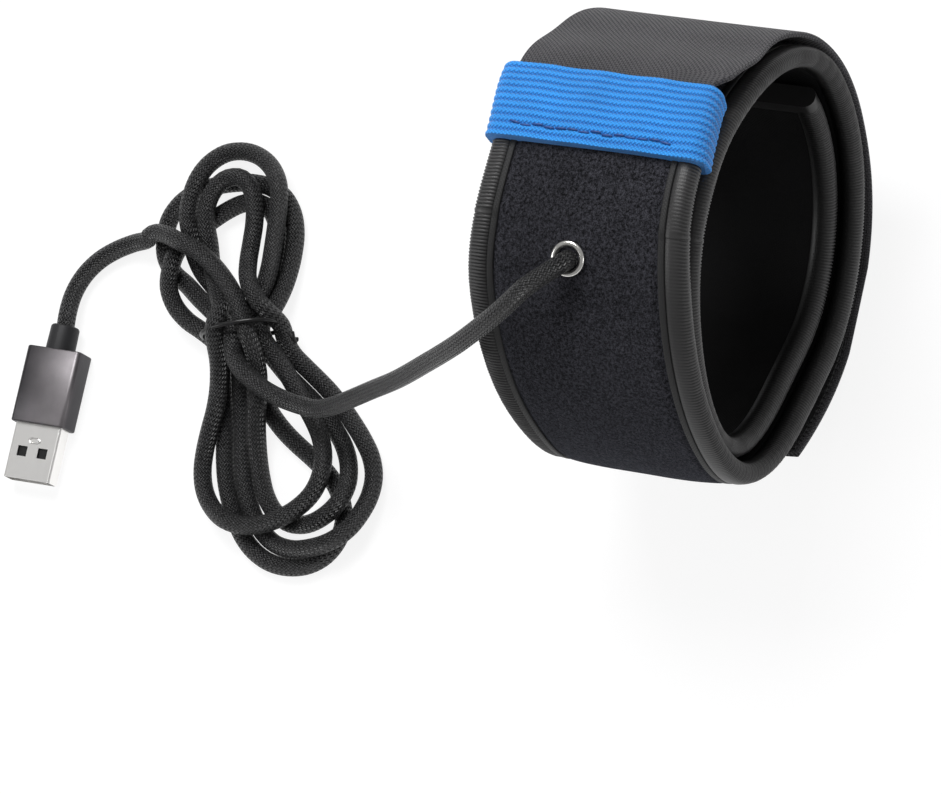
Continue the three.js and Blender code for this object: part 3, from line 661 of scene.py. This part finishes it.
tape, tree, shader = new_finish("ribbed_tape", "binding_tape", roughness=0.42, specular_ior_level=0.4)
along, around = laid_on(tree)
# The colour is painted darker in the rib valleys and lighter on the crests: painted shade and painted highlight. Tape
# that isn't ribbed gets an even middle value.
rib = reckon(tree, "SINE", reckon(tree, "MULTIPLY", along, 2 * math.pi / rib_pitch))
valley = between(tree, rib, -0.9, 0.6)
ribbed = put(tree, "ShaderNodeAttribute", attribute_name="ribbed").outputs["Fac"]
# The "tone" attribute is painted light: it darkens the tape's faces toward the bore and inside its fold as painted
# shade.
tone = put(tree, "ShaderNodeAttribute", attribute_name="tone").outputs["Fac"]
flat = put(tree, "ShaderNodeMix", {"Factor": ribbed, "A": 0.6, "B": valley}, data_type="FLOAT").outputs[0]
shade = blend(tree, reckon(tree, "MULTIPLY", flat, tone), (0.002, 0.002, 0.002), (0.050, 0.049, 0.050))
paint(tree, shader, shade)
strands = fine_noise(tree, 3500.0)
raise_surface(tree, shader, strands, 0.4, 0.0001)

tape_outside = ((20.1, -2.15), (20.5, -2.5), (21.5, -2.7), (22.6, -2.6), (23.6, -2.2), (24.3, -1.5), (24.7, -0.5),
                (24.7, 0.5), (24.3, 1.3), (23.6, 1.85), (22.6, 2.15), (21.5, 2.25), (20.5, 2.15), (20.1, 1.9))
tape_inside = ((20.9, 1.75), (22.9, 1.6), (24.0, 0.7), (24.0, -0.9), (22.9, -2.0), (20.9, -2.05))
far_ribs = (0, 0, 0.1, 0.3, 0.7, 1, 1, 1, 1, 1, 1, 1, 0.8, 0.4, 0, 0, 0, 0, 0, 0)
near_ribs = (0, 0, 0.1, 0.4, 0.8, 1, 1, 1, 0.9, 0.4, 0.15, 0.1, 0.1, 0.1, 0, 0, 0, 0, 0, 0)
# Painted light for each point of the section: none on the bore side and the inside faces, which is painted shade, and
# full over the turned edge and the velour side.
tape_painted_light = (0, 0, 0, 0.15, 0.5, 0.9, 1, 1, 1, 1, 1, 1, 0.8, 0.5, 0, 0, 0, 0, 0, 0)
for name, side, node, strengths in (("near_edge_tape", -1, "near_edge_binding", near_ribs),
                                    ("far_edge_tape", 1, "far_edge_binding", far_ribs)):
    section = [(side * x, z) for x, z in tape_outside + tape_inside]
    piece = wound(name, belt_radius, belt_start + 4.4, belt_end, 0.19, section)
    mark(piece, "ribbed", strengths)
    mark(piece, "tone", tape_painted_light)
    grown(piece, rib_tree, Pitch=rib_pitch, Height=0.00015, Finish=tape)
    finish(piece, tape, node)

end_tape = wound("inner_end_tape", belt_radius, belt_start, belt_start + 4.9, 0.3,
                 rounded_band(-half_belt, half_belt, -2.6, 2.3, 2.2, 6, 40))
# The inner end tape lies inside the bore, so it is painted at about a third of full light: painted shade.
mark(end_tape, "tone", [0.35] * len(end_tape.data.vertices))
finish(end_tape, tape, "inner_end_binding")

# A narrow smooth strip is sewn along the velour beside each binding.
strip_cloth, tree, shader = new_finish("smooth_strip", "binding_tape", roughness=0.6)
height = woven(tree, 0.0004, 0.0004)
paint(tree, shader, (0.007, 0.007, 0.0075))
raise_surface(tree, shader, height, 0.4, 0.0001)
for name, side in (("near_sewn_strip", -1), ("far_sewn_strip", 1)):
    loop = rounded_band(18.5, 20.05, 1.5, 2.2, 0.35, 3, 3)
    piece = wound(name, belt_radius, layers_start, belt_end, 0.8, [(side * x, z) for x, z in loop])
    finish(piece, strip_cloth)


# The strap is woven elastic, sewn on under the keeper. It lies over the belt and down its back, and its tail
# stands a little off the dent that it pulls into the ring.
strap_half_width, strap_half_thick = 23.5, 0.6
strap_start, strap_end, hook_start = 21.5, 237.5, 183


def strap_edges(angle, across, height):
    """Its edges wave a little, and curl down where its tail stands free."""
    wave = 0.35 * np.sin(np.radians(angle * 4.3)) * (across / strap_half_width) ** 2
    curl = 0.4 * (np.abs(across) / strap_half_width) ** 6 * ease(angle, 150, 190)
    return across, height + wave * ease(angle, 40, 60) - curl


strap_section = rounded_band(-strap_half_width, strap_half_width, -strap_half_thick, strap_half_thick, 0.5, 4, 36)
strap = wound("elastic_strap_webbing", strap_radius, strap_start, strap_end, 0.9, strap_section, lie=strap_lie,
              wander=strap_edges, floor_level=table_level + strap_half_thick)
webbing, tree, shader = new_finish("woven_elastic", "strap_webbing", roughness=0.85, sheen_weight=0.2,
                                   specular_ior_level=0.3)
height = woven(tree, 0.00062, 0.00055)
# The colour follows the weave's height: painted shade in the gaps between threads and painted highlights on their
# crests.
shade = blend(tree, height, (0.002, 0.002, 0.0025), (0.082, 0.079, 0.088))
paint(tree, shader, shade, 0.015, 0.85, 1.15)
raise_surface(tree, shader, height, 0.8, 0.0003)
finish(strap, webbing, "elastic_strap")


# The hook patch is sewn under the strap's tail: stiff tape full of tiny plastic hooks.
hook_back = wound("hook_tape", strap_radius, hook_start, strap_end - 1.5, 1.5,
                  rounded_band(-22, 22, -1.5, -0.75, 0.2, 2, 32), lie=strap_lie,
                  floor_level=table_level + strap_half_thick)
hooked, tree, shader = new_finish("hook_tape", "hook_tape", roughness=0.6)
grit = fine_noise(tree, 1500.0, detail=2.0)
paint(tree, shader, (0.010, 0.010, 0.011))
raise_surface(tree, shader, grit, 0.6, 0.0002)

full_turn = 6.283
hook_tree, way_in, way_out = new_group(
    "tiny_hooks", "GeometryNodeTree",
    [("Geometry", "NodeSocketGeometry", None), ("Hook", "NodeSocketObject", None),
     ("Finish", "NodeSocketMaterial", None), ("Seed", "NodeSocketInt", 5)],
    [("Geometry", "NodeSocketGeometry")])
normal = put(hook_tree, "GeometryNodeInputNormal").outputs[0]
upright = put(hook_tree, "FunctionNodeAlignRotationToVector", {"Vector": normal}, axis="Z")
spin = put(hook_tree, "FunctionNodeRandomValue", {"Seed": way_in["Seed"]}, data_type="FLOAT")
spin.inputs[3].default_value = full_turn
twist = put(hook_tree, "FunctionNodeAxisAngleToRotation", {"Axis": (0, 0, 1), "Angle": spin.outputs[1]})
facing = put(hook_tree, "FunctionNodeRotateRotation", {"Rotation": upright.outputs[0], "Rotate By": twist.outputs[0]},
             rotation_space="LOCAL")
one_hook = put(hook_tree, "GeometryNodeObjectInfo", {"Object": way_in["Hook"]})
points = put(hook_tree, "GeometryNodeInstanceOnPoints",
             {"Points": way_in["Geometry"], "Instance": one_hook.outputs["Geometry"], "Rotation": facing.outputs[0]})
realized = put(hook_tree, "GeometryNodeRealizeInstances", {"Geometry": points.outputs[0]})
joined = put(hook_tree, "GeometryNodeJoinGeometry")
hook_tree.links.new(way_in["Geometry"], joined.inputs[0])
hook_tree.links.new(realized.outputs[0], joined.inputs[0])
dressed = put(hook_tree, "GeometryNodeSetMaterial", {"Geometry": joined.outputs[0], "Material": way_in["Finish"]})
hook_tree.links.new(dressed.outputs[0], way_out["Geometry"])
hook_line = [(0, 0, -0.1), (0, 0, 0.3), (0.05, 0, 0.5), (0.2, 0, 0.55), (0.28, 0, 0.42)]
one = tube("one_hook", hook_line, 0.16, sides=5)
grown(hook_back, hook_tree, Hook=one, Finish=hooked)
bpy.data.objects.remove(one)
finish(hook_back, hooked, "hook_patch")


# The keeper is a loop of blue ribbed elastic round the belt's end. Its near fold stands off the belt, and a
# dark blue line of stitches holds it down.
keeper_start, keeper_end = 738.6, 759.4
keeper_rib = 0.0016
outer = rounded_band(-24.9, 24.9, -3.7, 4.7, 3.0, 7, 30)


def keeper_ends(angle, across, height):
    """Its two folds lean toward the picture's left, and the near one is pressed a little flatter."""
    place = (2 * angle - keeper_start - keeper_end) / (keeper_end - keeper_start)
    near = ease(-across, 16, 25)
    far = ease(across, 16, 25)
    slide = 1.6 * far * ease(place, -1, 1) + near * (1.3 * ease(place, -0.6, 1) - 0.5 * ease(-place, 0.4, 1))
    return across + slide, height + 0.15 * np.sin(across * 0.5) - 0.35 * near * ease(place, -0.7, 0.6) * (height > 0)


keeper = wound("blue_keeper", belt_radius, keeper_start, keeper_end, 0.16, outer, lie=keeper_lie, wander=keeper_ends)
mark(keeper, "ribbed", [1.0] * len(outer))
elastic, tree, shader = new_finish("blue_ribbed_elastic", "blue_elastic", roughness=0.65, sheen_weight=0.2,
                                   specular_ior_level=0.3)
along, around = laid_on(tree)
rib = reckon(tree, "SINE", reckon(tree, "MULTIPLY", along, 2 * math.pi / keeper_rib))
stitch_x = reckon(tree, "MULTIPLY", along, 1 / 0.0008)
stitch_y = reckon(tree, "MULTIPLY", around, 1 / 0.0009)
height = threads(tree, reckon(tree, "ADD", stitch_x, stitch_y), reckon(tree, "SUBTRACT", stitch_x, stitch_y))
# The blue is darker in the rib and stitch dips and lighter on their crests: painted shade and painted highlight.
raised = reckon(tree, "MULTIPLY_ADD", rib, 0.35, reckon(tree, "MULTIPLY", height, 0.6))
ramp = between(tree, raised, -0.25, 0.7)
shade = blend(tree, ramp, (0.003, 0.09, 0.42), (0.035, 0.37, 1.0))
paint(tree, shader, shade, 0.01, 0.9, 1.1)
raise_surface(tree, shader, height, 0.7, 0.0003)
grown(keeper, rib_tree, Pitch=keeper_rib, Height=0.00012, Finish=elastic)
finish(keeper, elastic, "blue_keeper_loop")

# Its stitches are short rounded threads set end to end.
stitch_tree, way_in, way_out = new_group(
    "stitch_row", "GeometryNodeTree",
    [("Geometry", "NodeSocketGeometry", None), ("Pitch", "NodeSocketFloat", 0.003),
     ("Stitch", "NodeSocketObject", None), ("Finish", "NodeSocketMaterial", None)],
    [("Geometry", "NodeSocketGeometry")])
seam = put(stitch_tree, "GeometryNodeMeshToCurve", {"Mesh": way_in["Geometry"]})
spaced = put(stitch_tree, "GeometryNodeResampleCurve", {"Curve": seam.outputs[0], "Length": way_in["Pitch"]},
             mode="LENGTH")
facing = put(stitch_tree, "FunctionNodeAlignRotationToVector",
             {"Vector": put(stitch_tree, "GeometryNodeInputTangent").outputs[0]}, axis="X")
one_stitch = put(stitch_tree, "GeometryNodeObjectInfo", {"Object": way_in["Stitch"]})
points = put(stitch_tree, "GeometryNodeInstanceOnPoints",
             {"Points": spaced.outputs[0], "Instance": one_stitch.outputs["Geometry"], "Rotation": facing.outputs[0]})
realized = put(stitch_tree, "GeometryNodeRealizeInstances", {"Geometry": points.outputs[0]})
dressed = put(stitch_tree, "GeometryNodeSetMaterial", {"Geometry": realized.outputs[0], "Material": way_in["Finish"]})
stitch_tree.links.new(dressed.outputs[0], way_out["Geometry"])


def sew(name, places, pitch, width, look):
    """A row of stitches along places given in millimetres."""
    line = bpy.data.meshes.new(name)
    line.from_pydata([tuple(np.array(p) * 0.001) for p in places], [(i, i + 1) for i in range(len(places) - 1)], [])
    row = bpy.data.objects.new(name, line)
    bpy.context.scene.collection.objects.link(row)
    half = pitch * 0.42
    one = tube("one_stitch", [(-half, 0, 0), (-half * 0.8, 0, width * 0.25), (0, 0, width * 0.35),
                              (half * 0.8, 0, width * 0.25), (half, 0, 0)], width, sides=6)
    grown(row, stitch_tree, Pitch=pitch * 0.001, Stitch=one, Finish=look)
    bpy.data.objects.remove(one)
    row.data.shade_smooth()
    return row


def on_belt(angle, across, height):
    """A place on the wound belt, in millimetres."""
    turn = math.radians(100 - angle)
    reach = float(belt_radius(np.array([angle]))[0]) + height
    return ring_middle + (reach * math.cos(turn), across, reach * math.sin(turn))


thread, tree, shader = new_finish("blue_thread", "blue_thread", roughness=0.5)
twist = fine_noise(tree, 4000.0)
paint(tree, shader, (0.004, 0.06, 0.27))
raise_surface(tree, shader, twist, 0.4, 0.0001)
seam_line = [on_belt(741.8 + 0.3 * math.sin(x), x, 4.8) for x in np.linspace(20, -14.5, 40)]
keeper_seam = sew("keeper_stitch_row", seam_line, 2.6, 0.5, thread)
finish(keeper_seam, thread, "keeper_stitching")


# The eyelet is a rolled nickel ring pressed through the velour, with a washer behind.
eyelet_profile = ((2.45, -2.3), (2.8, -2.3), (2.8, 0.0), (3.4, 0.0), (3.75, 0.2), (3.85, 0.5), (3.7, 0.78),
                  (3.3, 0.95), (2.9, 0.9), (2.6, 0.68), (2.45, 0.3))
across_eyelet = np.array((0.0, 1.0, 0.0))
down_eyelet = np.cross(eyelet_axis, across_eyelet)
rows = []
for turn in np.linspace(0, 2 * math.pi, 73)[:-1]:
    spoke = math.cos(turn) * across_eyelet + math.sin(turn) * down_eyelet
    rows.append([eyelet_seat + radius * spoke + (rise + 0.75) * eyelet_axis for radius, rise in eyelet_profile])
rows.append(rows[0])
rim = skin("rolled_eyelet", np.array(rows), np.linspace(0, 20, 73), np.linspace(0, 8, 12), capped=False)
shape = bmesh.new()
shape.from_mesh(rim.data)
bmesh.ops.remove_doubles(shape, verts=shape.verts, dist=1e-6)
bmesh.ops.recalc_face_normals(shape, faces=shape.faces)
shape.to_mesh(rim.data)
shape.free()
plate, tree, shader = new_finish("polished_nickel", "nickel", roughness=0.25, metallic=1.0)
scuffs = fine_noise(tree, 900.0, detail=3.0)
paint(tree, shader, (0.80, 0.79, 0.76), 0.004, 0.9, 1.06)
worn = put(tree, "ShaderNodeMapRange", {"Value": scuffs, "To Min": 0.1, "To Max": 0.32})
tree.links.new(worn.outputs["Result"], shader.inputs["Roughness"])
finish(rim, plate, "nickel_eyelet")


# The twist tie is plastic-covered wire: one loop round the bundle's waist, its two ends twisted together.
tie_middle = waist + hank_place + (0, 0, 7.6)
tie_place = [tie_middle + waist_side * x + (0, 0, z) for x, z in (
    (-9.4, -2.5), (-9.1, -4.6), (-7.6, -6.2), (-4, -6.6), (0, -6.7), (4, -6.6), (7.6, -6.2), (9.1, -4.6),
    (9.6, -1.8), (9.2, 1.4), (7.6, 4.0), (5.0, 5.7), (2.4, 6.3), (0, 6.4), (-2.4, 6.3), (-5.0, 5.6), (-7.6, 3.8),
    (-9.1, 1.4), (-9.5, -0.6))]
ends = []
for start, side in ((tie_place[-1], 0.0), (tie_place[0], math.pi)):
    run = []
    for k in range(1, 13):
        turn = side + k * 0.75
        knot = tie_middle + waist_side * (-9.9 - 0.25 * k) + np.array((-0.33 * k, 0, -0.34 * k))
        spiral = 0.5 * np.array((math.cos(turn), 0.4 * math.sin(turn), math.sin(turn)))
        run.append(start * max(0, 1 - k / 3) + knot * min(1, k / 3) + spiral)
    ends.append(run)
tie_line = lay_line(ends[1][::-1] + tie_place + ends[0], 0.5)
tie = tube("wire_tie", tie_line, 1.1, sides=12)
coated, tree, shader = new_finish("black_plastic", "black_plastic", roughness=0.3)
ripple = fine_noise(tree, 700.0, detail=2.0)
paint(tree, shader, (0.005, 0.005, 0.0055))
raise_surface(tree, shader, ripple, 0.3, 0.0002)
finish(tie, coated, "twist_tie")


# The plug's housing is a dark anodised aluminium block with fine chamfers, and its collar grips the lead.
plug_middle = np.array((-34.4, 162, 3.5))


def plug_section(width, height, corner, steps=6):
    loop = []
    for side_y, side_z, turn in ((1, 1, 0), (-1, 1, 90), (-1, -1, 180), (1, -1, 270)):
        for k in range(steps + 1):
            angle = math.radians(turn + 90 * k / steps)
            loop.append((side_y * (width / 2 - corner) + corner * math.cos(angle),
                         side_z * (height / 2 - corner) + corner * math.sin(angle)))
    return loop


def plug_block(name, stations):
    """A block along the plug: each station is its distance from the housing's back, width, height and corner."""
    rows, along = [], [0]
    for distance, width, height, corner in stations:
        rows.append([plug_middle + (-distance, y, z) for y, z in plug_section(width, height, corner)])
    for before, after in zip(rows, rows[1:]):
        along.append(along[-1] + float(np.linalg.norm(after[0] - before[0])))
    girth = np.linspace(0, 2 * (stations[0][1] + stations[0][2]), len(rows[0]) + 1)
    return skin(name, np.array(rows), np.array(along), girth)


housing = plug_block("plug_block", (
    (0.6, 5.0, 5.0, 2.4), (0, 5.2, 5.2, 2.5), (0, 13.3, 6.3, 0.9), (0.08, 13.7, 6.7, 1.1), (0.3, 14, 7, 1.25),
    (9, 14, 7, 1.25), (17.7, 14, 7, 1.25), (17.92, 13.7, 6.7, 1.1), (18, 13.3, 6.3, 0.9), (18, 12.5, 5.0, 0.8),
    (17.7, 12.3, 4.8, 0.7), (13.4, 12.3, 4.8, 0.7)))
anodised, tree, shader = new_finish("dark_anodised", "anodised", roughness=0.38, metallic=0.85)
brushed(tree, shader, (60.0, 3000.0, 3000.0), 3.0, 0.3, 0.5)
blast = fine_noise(tree, 6000.0, detail=1.0)
# Painted light: the top face is painted lighter across its width, and faces that don't look up are painted dark. This
# is a painted highlight and painted shade over the dark anodised colour.
side = put(tree, "ShaderNodeSeparateXYZ", {"Vector": object_space(tree)}).outputs["Y"]
painted_sheen = between(tree, side, 0.169, 0.157)
normal = put(tree, "ShaderNodeNewGeometry").outputs["Normal"]
facing = put(tree, "ShaderNodeSeparateXYZ", {"Vector": normal}).outputs["Z"]
painted_top_light = reckon(tree, "MULTIPLY", painted_sheen, facing, use_clamp=True)
shade = blend(tree, painted_top_light, (0.04, 0.038, 0.042), (0.24, 0.225, 0.235))
paint(tree, shader, shade, 0.01, 0.85, 1.15)
raise_surface(tree, shader, blast, 0.15, 0.0001)
finish(housing, anodised, "plug_housing")
collar = plug_block("plug_grip", (
    (-5.2, 4.5, 4.5, 2.24), (-5.75, 4.7, 4.7, 2.34), (-5.9, 5.0, 5.0, 2.49), (-5.9, 6.0, 6.0, 2.99),
    (-5.7, 6.5, 6.5, 3.24), (-5.4, 6.7, 6.7, 3.34), (-0.5, 6.9, 6.9, 3.44), (0.1, 6.9, 6.9, 3.44)))
rubbery, tree, shader = new_finish("matte_collar", "anodised", roughness=0.55, metallic=0.3)
blast = fine_noise(tree, 4000.0, detail=1.0)
paint(tree, shader, (0.020, 0.020, 0.022), 0.01)
raise_surface(tree, shader, blast, 0.2, 0.0001)
finish(collar, rubbery, "plug_collar")

# The shell is folded bright steel. A pressed oval sits above its two latch windows.
oval = []
for turn in np.linspace(0, 2 * math.pi, 33)[:-1]:
    run = np.array((0.62 * math.cos(turn), 1.0 * math.sin(turn) + 0.42 * np.sign(math.sin(turn))))
    oval.append([plug_middle + (-21.9 + run[0] * grow, run[1] * grow, 2.25 + rise) for grow, rise in (
        (1.25, -0.05), (1.1, 0.1), (0.95, 0.16), (0.8, 0.1), (0.66, -0.06), (0.5, -0.1), (0.05, -0.1))])
oval.append(oval[0])
dimple = skin("pressed_oval", np.array(oval), np.linspace(0, 5, 33), np.linspace(0, 2, 8), closed=False, capped=False)
steel, tree, shader = new_finish("bright_steel", "steel", roughness=0.25, metallic=1.0)
brushed(tree, shader, (150.0, 2500.0, 2500.0), 2.0, 0.28, 0.31)
paint(tree, shader, (0.93, 0.92, 0.90), 0.006, 0.98, 1.02)
finish(dimple, steel)


# The parts inside keep the shapes of their solids: heating film, wires and sleeves, washer, board, tongue and
# contacts. Each gets the finish of its own stuff.
def plain_part(name, slot_name, colour, roughness, grain_size, strength=0.2, **settings):
    look, tree, shader = new_finish(name, slot_name, roughness=roughness, **settings)
    texture = fine_noise(tree, 1 / grain_size, detail=3.0)
    paint(tree, shader, colour, 0.01)
    raise_surface(tree, shader, texture, strength, 0.0001)
    return look


film = plain_part("amber_film", "film", (0.21, 0.084, 0.022), 0.35, 0.004)
bare_wire = plain_part("bare_copper", "copper", (0.48, 0.17, 0.033), 0.35, 0.0008, metallic=1.0)
plating = plain_part("gold_plating", "gold", (0.65, 0.43, 0.04), 0.28, 0.001, metallic=1.0)
green_board = plain_part("green_board", "board", (0.01, 0.074, 0.022), 0.4, 0.001)
for look, names in (
        (film, ("heating_film",)), (bare_wire, ("near_supply_wire", "far_supply_wire")), (plate, ("eyelet_washer",)),
        (coated, ("near_wire_sleeve", "far_wire_sleeve", "usb_tongue")), (steel, ("usb_shell",)),
        (plating, ("contact_1", "contact_2", "contact_3", "contact_4")), (green_board, ("solder_board",))):
    for name in names:
        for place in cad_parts[name].material_slots:
            place.material = look
